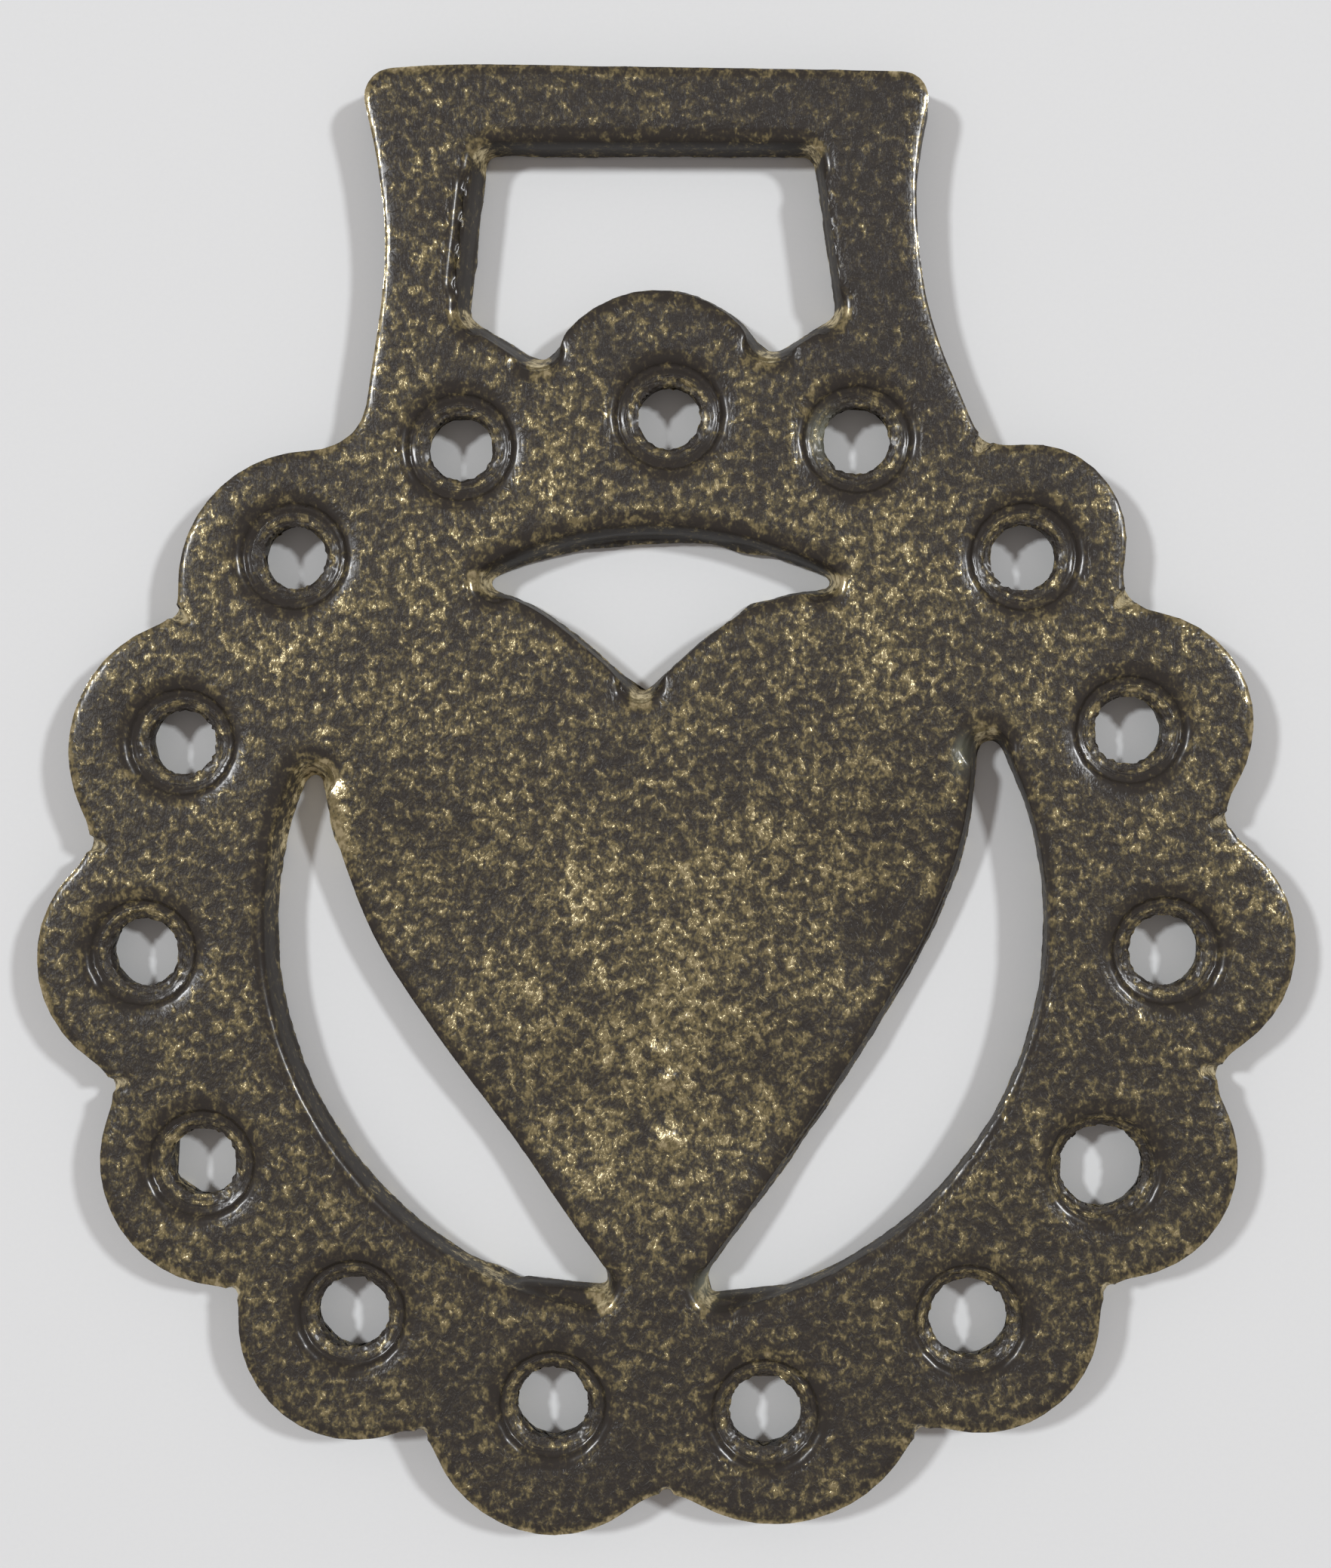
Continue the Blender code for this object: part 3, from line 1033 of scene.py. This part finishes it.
@dataclass(frozen=True)
class Patination:
    """Where wear and handling have changed the patina.

    Attributes:
        plan: The casting's edges.
        ledge: The height of the ragged foot of the walls.
        rubbed_back: How much of the metal is rubbed on the flat back.
        dense: Places where more metal shows and the face looks lighter, and where a negative strength shows less and
            looks darker.
        worn: Places on the face that are worn down to the metal.
        bared: Places on the walls of the openings where the metal is bare.
        rubbed_rims: Places where the outer rim is worn bright.
        residue: Places where pale green residue has stayed.
    """

    plan: Plan
    ledge: float
    rubbed_back: float = 0.35
    # Lighter in the heart and the ring's upper part, darker at the ring's foot and on the loop.
    dense: tuple[Spot, ...] = (
        Spot((0.0, -4.0), 13.0, 0.35),
        Spot((-3.0, -17.0), 6.0, 0.15),
        Spot((-6.0, 24.0), 9.0, 0.2),
        Spot((13.0, 21.0), 9.0, 0.25),
        Spot((0.0, 14.0), 6.0, -0.1),
        Spot((2.0, -31.0), 16.0, -0.2),
        Spot((17.0, 38.0), 9.0, -0.35),
        Spot((6.0, 50.0), 14.0, -0.3),
        Spot((-22.0, 20.0), 9.0, 0.15),
        Spot((27.0, -12.0), 8.0, -0.1),
    )
    worn: tuple[Spot, ...] = (
        Spot((0.4, -7.8), 0.75, 1.1),
        Spot((0.9, -9.4), 0.7, 1.0),
        Spot((0.8, -13.0), 0.85, 1.1),
        Spot((-11.0, -4.5), 1.0, 0.35),
        Spot((-4.5, 21.0), 1.2, 0.3),
        Spot((12.0, 22.0), 1.5, 0.3),
    )
    bared: tuple[Spot, ...] = (
        Spot((-20.3, 9.0), 2.2, 1.2),
        Spot((-20.8, 5.0), 2.6, 1.2),
        Spot((-21.3, 0.5), 2.2, 0.8),
        Spot((-7.0, 24.5), 2.5, 0.35),
        Spot((-10.5, -21.5), 2.5, 0.5),
    )
    rubbed_rims: tuple[Spot, ...] = (
        Spot((-18.0, 40.0), 8.0, 1.0),
        Spot((-18.0, 51.5), 4.0, 1.0),
        Spot((17.0, 51.5), 4.0, 0.8),
        Spot((-35.0, 14.0), 9.0, 0.7),
        Spot((-37.0, -4.0), 7.0, 0.5),
        Spot((36.0, 14.0), 7.0, 0.6),
        Spot((37.0, -3.0), 7.0, 0.5),
        Spot((0.0, -38.0), 14.0, 0.8),
        Spot((29.0, -24.0), 8.0, 0.4),
    )
    residue: tuple[Spot, ...] = (
        Spot((17.6, 10.5), 1.2, 0.55),
        Spot((3.2, -22.2), 0.75, 0.45),
        Spot((10.5, 29.6), 1.2, 0.4),
    )

    def marks(self, points: np.ndarray) -> dict[Mark, np.ndarray]:
        """Works out every mark of the patina.

        Args:
            points: The skin's vertices, in millimetres.

        Returns:
            One value for each vertex, for each mark.
        """
        height = points[:, 2]
        from_opening = self.plan.back.depths(points, Edge.OPENING)
        from_hole = self.plan.back.depths(points, Edge.HOLE)
        inner = np.minimum(from_opening, from_hole)
        lips = self.plan.lip_depths(points)
        in_rim = lips[Edge.RIM]
        in_inner = np.minimum(lips[Edge.OPENING], lips[Edge.HOLE])
        in_face = np.minimum(in_rim, in_inner)
        top = ease(-0.1, 0.1, in_face) * ease(2.0, 2.3, height)
        rubbed = np.clip(0.5 + self.plan.strength(self.dense, points), 0.0, 1.0)
        rubbed *= top * (0.3 + 0.7 * ease(0.0, 0.9, in_inner))
        foot = ease(self.ledge + 0.1, self.ledge - 0.1, height) * ease(0.9, 0.5, inner)
        crumbled = self.plan.crumbled(points)
        polished = np.clip(0.25 + self.plan.strength(self.rubbed_rims, points), 0.0, 1.0)
        lip = ease(0.45, 0.1, in_rim) * ease(2.2, 2.7, height)
        wedges = self._wedges(points)
        bare = np.maximum.reduce([
            wedges,
            0.95 * self._corners(points, in_face),
            0.5 * foot,
            crumbled * (0.1 + 0.4 * self._rings(from_hole)),
            0.95 * polished * lip,
            self.plan.strength(self.bared, points) * ease(1.6, 1.1, from_opening) * ease(3.1, 2.95, height),
            self.plan.strength(self.worn, points),
        ])
        rubbed *= 1.0 - 0.8 * np.clip(bare, 0.0, 1.0)
        soiled = self.plan.strength(self.residue, points) * ease(1.6, 0.8, inner)
        smooth = np.maximum.reduce([1.0 - top, ease(0.8, 0.35, in_inner), ease(0.6, 0.3, in_rim)])
        smooth *= (1.0 - foot) * (1.0 - crumbled) * (1.0 - 0.8 * wedges)
        found = {
            Mark.RUBBED: rubbed,
            Mark.BARE: bare,
            Mark.SMOOTH: smooth,
            Mark.SOILED: soiled,
            Mark.BORED: crumbled * np.clip(0.1 + from_hole / 2.0, 0.01, 1.0),
        }
        for mark, values in found.items():
            values[height < 1e-3] = self.rubbed_back if mark is Mark.RUBBED else 0.0
        return found

    @staticmethod
    def _rings(from_hole: np.ndarray) -> np.ndarray:
        """How rubbed the outer and the inner edge of a crumbled shelf are."""
        return sum(np.exp(-(((from_hole - edge) / RING_WIDTH) ** 2)) for edge in SHELF_EDGES)

    def _wedges(self, points: np.ndarray) -> np.ndarray:
        """Where the nicks between the lobes are.

        Args:
            points: The points, in millimetres.

        Returns:
            One strength for each point.
        """
        total = np.zeros(len(points))
        for bite in self.plan.notches:
            length = self.plan.notch_length(bite)
            along, across = bite.along(points), bite.across(points)
            run = ease(-0.5, -0.2, along) * ease(length + 0.15, length - 0.15, along)
            width = 0.42 - 0.2 * np.clip(along / max(length, 0.1), 0.0, 1.0)
            total = np.maximum(total, run * ease(width + 0.08, width - 0.08, across))
        return total

    def _corners(self, points: np.ndarray, in_face: np.ndarray) -> np.ndarray:
        """Where the sloping corners of the openings are.

        Args:
            points: The points, in millimetres.
            in_face: How far each point is in from its lip.

        Returns:
            One strength for each point.
        """
        total = np.zeros(len(points))
        for bite in self.plan.tips:
            along, across = bite.along(points), bite.across(points)
            run = ease(-0.7, -0.3, along) * ease(1.9, 1.3, along)
            total = np.maximum(total, run * ease(0.9, 0.5, across) * ease(0.55, 0.15, in_face))
        return total


class Graph:
    """A shader's node tree, filled one node at a time from left to right."""

    STEP = 190.0

    def __init__(self, tree: bpy.types.NodeTree) -> None:
        """Empties a tree to fill it.

        Args:
            tree: The node tree.
        """
        self.tree = tree
        self.tree.nodes.clear()
        self.count = 0

    def add(self, kind: str, label: str, **settings: object) -> Node:
        """Adds a node.

        Args:
            kind: The node's type.
            label: What it is for.
            settings: The node's own settings.

        Returns:
            The node.
        """
        node = self.tree.nodes.new(kind)
        node.label = label
        node.location = (self.STEP * (self.count % 8), -self.STEP * (self.count // 8))
        self.count += 1
        for name, value in settings.items():
            setattr(node, name, value)
        return node

    def feed(self, value: object, socket: Socket) -> None:
        """Links a socket to another, or sets its plain value.

        Args:
            value: An output socket, or a number or colour.
            socket: The input socket.
        """
        if isinstance(value, Socket):
            self.tree.links.new(value, socket)
        else:
            socket.default_value = value

    def calc(self, label: str, operation: str, *values: object, clamp: bool = False) -> Socket:
        """Adds a Math node.

        Args:
            label: What it works out.
            operation: The operation.
            values: The operands, as sockets or numbers.
            clamp: True to keep the result from 0 to 1.

        Returns:
            The result's socket.
        """
        node = self.add("ShaderNodeMath", label, operation=operation, use_clamp=clamp)
        for value, socket in zip(values, node.inputs):
            self.feed(value, socket)
        return node.outputs[0]

    def noise(self, label: str, vector: object, grain: float, **values: float) -> Socket:
        """Adds a Noise texture.

        Args:
            label: What it shows.
            vector: The coordinates' socket, in millimetres.
            grain: The size of its features, in millimetres.
            values: Its Detail, Roughness and Distortion.

        Returns:
            The noise's socket, from 0 to 1.
        """
        node = self.add("ShaderNodeTexNoise", label)
        self.feed(vector, node.inputs["Vector"])
        node.inputs["Scale"].default_value = 1.0 / grain
        for name, value in values.items():
            node.inputs[name].default_value = value
        return node.outputs["Fac"]

    def span(self, label: str, value: object, low: float, high: float, start: float, end: float) -> Socket:
        """Adds a Map Range node with a soft step.

        Args:
            label: What it works out.
            value: The socket to turn.
            low: The value that gives start.
            high: The value that gives end.
            start: The lowest result.
            end: The highest result.

        Returns:
            The result's socket.
        """
        node = self.add("ShaderNodeMapRange", label, interpolation_type="SMOOTHSTEP")
        self.feed(value, node.inputs["Value"])
        for name, number in zip(("From Min", "From Max", "To Min", "To Max"), (low, high, start, end)):
            node.inputs[name].default_value = number
        return node.outputs["Result"]

    def mix(self, label: str, share: object, first: object, second: object) -> Socket:
        """Adds a Mix Color node.

        Args:
            label: What it blends.
            share: How much of the second colour.
            first: The first colour.
            second: The second colour.

        Returns:
            The blended colour's socket.
        """
        node = self.add("ShaderNodeMix", label, data_type="RGBA")
        self.feed(share, node.inputs["Factor"])
        colours = [socket for socket in node.inputs if socket.type == "RGBA"]
        self.feed(first, colours[0])
        self.feed(second, colours[1])
        return next(socket for socket in node.outputs if socket.type == "RGBA")

    def attribute(self, mark: Mark) -> Socket:
        """Adds an Attribute node for one of the skin's marks, and gives its socket."""
        node = self.add("ShaderNodeAttribute", mark.value, attribute_name=mark.value)
        return node.outputs["Fac"]

    def coordinates(self) -> tuple[Socket, Socket]:
        """Adds the object's own coordinates, in millimetres, and its own normals.

        Returns:
            The sockets of the coordinates and of the normals.
        """
        place = self.add("ShaderNodeTexCoord", "own place")
        scale = self.add("ShaderNodeMapping", "millimetres")
        scale.inputs["Scale"].default_value = (1.0 / MM,) * 3
        self.feed(place.outputs["Object"], scale.inputs["Vector"])
        return scale.outputs["Vector"], place.outputs["Normal"]

    def shade(self, label: str, values: dict[str, object]) -> None:
        """Adds the Principled shader and the output that shows it.

        Args:
            label: What the shader is.
            values: A socket or a plain value for each of the shader's own inputs that is set.
        """
        shader = self.add("ShaderNodeBsdfPrincipled", label)
        for name, value in values.items():
            self.feed(value, shader.inputs[name])
        out = self.add("ShaderNodeOutputMaterial", "surface")
        self.feed(shader.outputs["BSDF"], out.inputs["Surface"])


def new_finish(name: str) -> tuple[bpy.types.Material, Graph]:
    """Starts a material.

    Args:
        name: The material's name.

    Returns:
        The material and its empty graph.
    """
    material = bpy.data.materials.new(name)
    material.use_nodes = True
    return material, Graph(material.node_tree)


def group_tree(name: str, inputs: dict[str, str], outputs: dict[str, str]) -> "tuple[Graph, Node, Node]":
    """Starts a shader node group with named sockets.

    Args:
        name: The group's name.
        inputs: The type of each input socket, by name.
        outputs: The type of each output socket, by name.

    Returns:
        The group's graph, its input node and its output node.
    """
    tree = bpy.data.node_groups.new(name, "ShaderNodeTree")
    for in_out, sockets in (("INPUT", inputs), ("OUTPUT", outputs)):
        for socket, kind in sockets.items():
            tree.interface.new_socket(socket, in_out=in_out, socket_type=kind)
    graph = Graph(tree)
    return graph, graph.add("NodeGroupInput", "in"), graph.add("NodeGroupOutput", "out")


def speckle_group() -> bpy.types.NodeTree:
    """Builds the group that breaks a patina into patches, curls and fine grains of metal.

    Returns:
        The group. Its Field is near 0.2 on the untouched patina and rises where metal shows.
    """
    graph, start, end = group_tree(
        "Rubbed Patina",
        {"Vector": VECTOR, "Rubbed": FLOAT, "Bare": FLOAT, "Bored": FLOAT},
        {"Field": FLOAT, "Relief": FLOAT},
    )
    vector = start.outputs["Vector"]
    stretch = graph.add("ShaderNodeMapping", "grains run up the face")
    graph.feed(vector, stretch.inputs["Vector"])
    stretch.inputs["Scale"].default_value = (1.0, 0.6, 1.0)
    stretch.inputs["Rotation"].default_value = (0.0, 0.0, math.radians(-14.0))
    grains = graph.noise("grains", stretch.outputs["Vector"], 0.17, Detail=1.0, Roughness=0.5)
    cells = graph.noise("cells", vector, 0.64, Detail=3.0, Roughness=0.55, Distortion=0.5)
    stretched = stretch.outputs["Vector"]
    curls = graph.noise("curls", stretched, 0.7, Detail=2.0, Roughness=0.5, Distortion=0.8)
    patches = graph.noise("patches", vector, 3.6, Detail=2.0, Roughness=0.6)
    offset = graph.calc("from a curl", "ABSOLUTE", graph.calc("middle", "SUBTRACT", curls, 0.5))
    threads = graph.span("thin curls", offset, 0.0, 0.05, 1.0, 0.0)
    split = graph.add("ShaderNodeSeparateXYZ", "place")
    graph.feed(vector, split.inputs["Vector"])
    around = graph.add("ShaderNodeCombineXYZ", "around the bore")
    graph.feed(graph.calc("from the bore", "MULTIPLY", start.outputs["Bored"], 5.0), around.inputs["X"])
    for axis in ("X", "Y"):
        lengthwise = graph.calc("along", "MULTIPLY", split.outputs[axis], 0.6)
        graph.feed(lengthwise, around.inputs["Y" if axis == "X" else "Z"])
    arcs = graph.noise("arcs", around.outputs["Vector"], 1.0, Detail=2.0, Roughness=0.55)
    in_bore = graph.span("in a bore", start.outputs["Bored"], 0.0, 0.02, 0.0, 1.0)
    total = graph.calc("rubbed", "MULTIPLY_ADD", start.outputs["Rubbed"], 0.4, 0.16)
    total = graph.calc("bare", "MULTIPLY_ADD", start.outputs["Bare"], 0.6, total)
    weights = (("cells", cells, 1.7), ("patches", patches, 0.6), ("grains", grains, 0.75))
    for label, source, weight in weights:
        centred = graph.calc(label, "SUBTRACT", source, 0.5)
        total = graph.calc(label, "MULTIPLY_ADD", centred, weight, total)
    cell_edges = graph.span("where cells end", cells, 0.45, 0.6, 0.0, 0.12)
    curled = graph.calc("curls", "MULTIPLY", threads, cell_edges)
    total = graph.calc("curls", "ADD", curled, total)
    ringed = graph.calc("arcs", "MULTIPLY", graph.calc("centred arcs", "SUBTRACT", arcs, 0.5), in_bore)
    total = graph.calc("arcs", "MULTIPLY_ADD", ringed, 1.0, total)
    relief = graph.calc("relief", "MULTIPLY_ADD", threads, 0.25, grains)
    relief = graph.calc("larger relief", "MULTIPLY_ADD", cells, 1.1, relief)
    relief = graph.calc("ringed relief", "MULTIPLY_ADD", ringed, 3.0, relief)
    graph.feed(total, end.inputs["Field"])
    graph.feed(relief, end.inputs["Relief"])
    return graph.tree


@dataclass(frozen=True)
class RubbedPatina:
    """Dark patina on cast brass, rubbed through to the metal in flecks.

    Attributes:
        dark: The patina's colour.
        thin: Its colour where it is thinner.
        olive: Its colour where the metal begins to show through.
        brass: The metal's colour in the flecks.
        bright: The colour of the brightest metal.
        residue: The pale green residue.
        stops: Where in the speckle each of the first five colours stands.
        relief: The height of the relief, in millimetres.
    """

    dark: Colour = (0.0305, 0.0255, 0.0213, 1.0)
    thin: Colour = (0.050, 0.041, 0.028, 1.0)
    olive: Colour = (0.095, 0.078, 0.042, 1.0)
    brass: Colour = (0.235, 0.188, 0.092, 1.0)
    bright: Colour = (0.66, 0.56, 0.33, 1.0)
    residue: Colour = (0.34, 0.36, 0.27, 1.0)
    stops: tuple[float, ...] = (0.15, 0.36, 0.5, 0.66, 0.95)
    relief: float = 0.065

    def build(self) -> bpy.types.Material:
        """Builds the material.

        Returns:
            The material.
        """
        material, graph = new_finish("rubbed_patina")
        vector, normal = graph.coordinates()
        rubbed, bare, smooth, soiled, bored = (graph.attribute(mark) for mark in Mark)
        speckle = graph.add("ShaderNodeGroup", "speckle", node_tree=speckle_group())
        for name, value in (("Vector", vector), ("Rubbed", rubbed), ("Bare", bare), ("Bored", bored)):
            graph.feed(value, speckle.inputs[name])
        tone = graph.add("ShaderNodeValToRGB", "from patina to metal")
        graph.feed(speckle.outputs["Field"], tone.inputs["Fac"])
        colours = (self.dark, self.thin, self.olive, self.brass, self.bright)
        self._ramp(tone, tuple(zip(self.stops, colours)))
        green = graph.mix("residue", soiled, tone.outputs["Color"], self.residue)
        worn = graph.span("roughness", speckle.outputs["Field"], 0.4, 0.8, 0.46, 0.34)
        lip_sheen = graph.calc("smooth edges", "MULTIPLY_ADD", smooth, -0.2, worn)
        facing = graph.add("ShaderNodeSeparateXYZ", "how steep")
        graph.feed(normal, facing.inputs["Vector"])
        steep = graph.span("steep walls are dull", facing.outputs["Z"], 0.75, 0.35, 0.0, 0.5)
        rough = graph.calc("roughness on walls", "ADD", lip_sheen, steep)
        shown = graph.span("metal shows", speckle.outputs["Field"], 0.45, 0.85, 0.0, 0.8)
        metal = graph.calc("dull metal on walls", "MULTIPLY_ADD", steep, -1.3, shown, clamp=True)
        bump = graph.add("ShaderNodeBump", "relief")
        bump.inputs["Strength"].default_value = 1.0
        bump.inputs["Distance"].default_value = self.relief * MM
        calm = graph.calc("calm edges", "MULTIPLY_ADD", smooth, -0.95, 1.0)
        height = graph.calc("height", "MULTIPLY", speckle.outputs["Relief"], calm)
        graph.feed(height, bump.inputs["Height"])
        sockets = {
            "Base Color": green,
            "Metallic": metal,
            "Roughness": rough,
            "Normal": bump.outputs["Normal"],
            "Specular IOR Level": 0.3,
            "Coat Weight": 0.2,
            "Coat Roughness": 0.2,
        }
        graph.shade("cast brass", sockets)
        return material

    @staticmethod
    def _ramp(node: Node, stops: tuple) -> None:
        """Sets a colour ramp's stops.

        Args:
            node: The Color Ramp node.
            stops: Each stop's position and colour.
        """
        ramp = node.color_ramp
        while len(ramp.elements) < len(stops):
            ramp.elements.new(1.0)
        for element, (position, colour) in zip(ramp.elements, stops):
            element.position = position
            element.color = colour


@dataclass(frozen=True)
class PaleGround:
    """The pale ground that the brass lies on.

    Attributes:
        size: The length of its sides, in metres.
        colour: Its colour.
        drop: How far it lies below the casting's back, in metres.
    """

    size: float = 4.0
    colour: Colour = (0.785, 0.80, 0.803, 1.0)
    drop: float = 0.00002

    def build(self) -> bpy.types.Object:
        """Models the ground and gives it its finish.

        Returns:
            The ground.
        """
        deselect()
        bpy.ops.mesh.primitive_plane_add(size=self.size, location=(0.0, 0.0, -self.drop))
        ground = bpy.context.object
        ground.name = "pale_ground"
        bpy.ops.object.transform_apply(location=True, rotation=True, scale=True)
        ground.data.materials.append(self._finish())
        return ground

    def _finish(self) -> bpy.types.Material:
        """Builds the ground's matt finish.

        Returns:
            The material.
        """
        material, graph = new_finish("pale_board")
        vector, _ = graph.coordinates()
        mottle = graph.noise("mottle", vector, 0.3, Detail=3.0, Roughness=0.7)
        shade = tuple(0.965 * part for part in self.colour[:3]) + (1.0,)
        colour = graph.mix("mottle", mottle, shade, self.colour)
        graph.shade("board", {"Base Color": colour, "Roughness": 0.75, "Specular IOR Level": 0.2})
        return material


@dataclass(frozen=True)
class Lamp:
    """A small round soft lamp that points at the casting.

    Attributes:
        name: The lamp's name.
        place: Its place, in millimetres.
        width: Its diameter, in millimetres.
        power: Its power, in watts.
        colour: Its colour.
    """

    name: str
    place: tuple[float, float, float]
    width: float
    power: float
    colour: tuple[float, float, float]

    def build(self) -> bpy.types.Object:
        """Adds the lamp.

        Returns:
            The lamp.
        """
        deselect()
        place = Vector(self.place) * MM
        turn = (-place).to_track_quat("-Z", "Y").to_euler()
        bpy.ops.object.light_add(type="AREA", location=place, rotation=turn)
        lamp = bpy.context.object
        lamp.name = self.name
        lamp.data.shape = "DISK"
        lamp.data.size = self.width * MM
        lamp.data.energy = self.power
        lamp.data.color = self.colour
        return lamp


@dataclass(frozen=True)
class Studio:
    """Two soft lamps, left and right of the brass, in an even dim room."""

    lamps: tuple[Lamp, ...] = (
        Lamp("left_lamp", (-1400.0, 540.0, 1800.0), 250.0, 24.0, (0.965, 0.98, 1.0)),
        Lamp("right_lamp", (1580.0, 660.0, 1800.0), 250.0, 26.5, (0.965, 0.98, 1.0)),
    )
    room: Colour = (1.0, 0.91, 0.88, 1.0)
    room_strength: float = 0.325

    def build(self) -> None:
        """Adds the lamps and the room's even light."""
        for lamp in self.lamps:
            lamp.build()
        world = bpy.data.worlds.new("even_room")
        world.use_nodes = True
        backdrop = world.node_tree.nodes["Background"]
        backdrop.inputs["Color"].default_value = self.room
        backdrop.inputs["Strength"].default_value = self.room_strength
        bpy.context.scene.world = world
        bpy.context.scene.view_settings.view_transform = "Standard"


@dataclass(frozen=True)
class Viewpoint:
    """The camera, which looks down on the face from a little to its right.

    Attributes:
        distance: How far it is from what it looks at, in millimetres.
        lean: How far it leans towards +X from straight above, in degrees.
        window: The height of the ground that it takes in, in millimetres.
        aim: Where it looks, from the middle of the casting, in millimetres.
    """

    distance: float = 125.0
    lean: float = 1.6
    window: float = 97.45
    aim: tuple[float, float] = (0.20, 0.92)

    def build(self) -> bpy.types.Object:
        """Adds the camera and makes it the scene's own.

        Returns:
            The camera.
        """
        lean = math.radians(self.lean)
        offset = Vector((math.sin(lean), 0.0, math.cos(lean))) * self.distance
        place = (Vector((*self.aim, 0.0)) + offset) * MM
        deselect()
        bpy.ops.object.camera_add(location=place, rotation=(0.0, lean, 0.0))
        camera = bpy.context.object
        camera.name = "viewpoint"
        camera.data.sensor_width = 36.0
        camera.data.lens = camera.data.sensor_width * self.distance / self.window
        camera.data.clip_start = 0.01
        camera.data.clip_end = 20.0
        bpy.context.scene.camera = camera
        return camera


def box_rows(corners: object) -> list[list[float]]:
    """A box as plain lists of numbers: its lowest and its highest corner."""
    return [[float(number) for number in corner] for corner in corners]


def main() -> None:
    """Builds the casting, its ground, its light and the camera, and reports the casting and the ground."""
    logging.basicConfig(level=logging.INFO, format="%(message)s")
    cad_box = box_rows(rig.bounds())
    Viewpoint().build()
    casting = Casting(frame["nodes"][NODE]).build()
    casting.data.materials.append(RubbedPatina().build())
    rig.ride(casting, BODY)
    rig.replaces(casting, NODE)
    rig.slot(casting, SLOT)
    log.info("%s: %d faces", casting.name, len(casting.data.polygons))
    ground = PaleGround().build()
    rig.stage(ground)
    log.info("%s laid", ground.name)
    Studio().build()
    with open(SIZE_FILE, "w") as size_file:
        json.dump({"cad": cad_box, "visual": box_rows(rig.bounds())}, size_file)


if __name__ == "__main__":
    main()
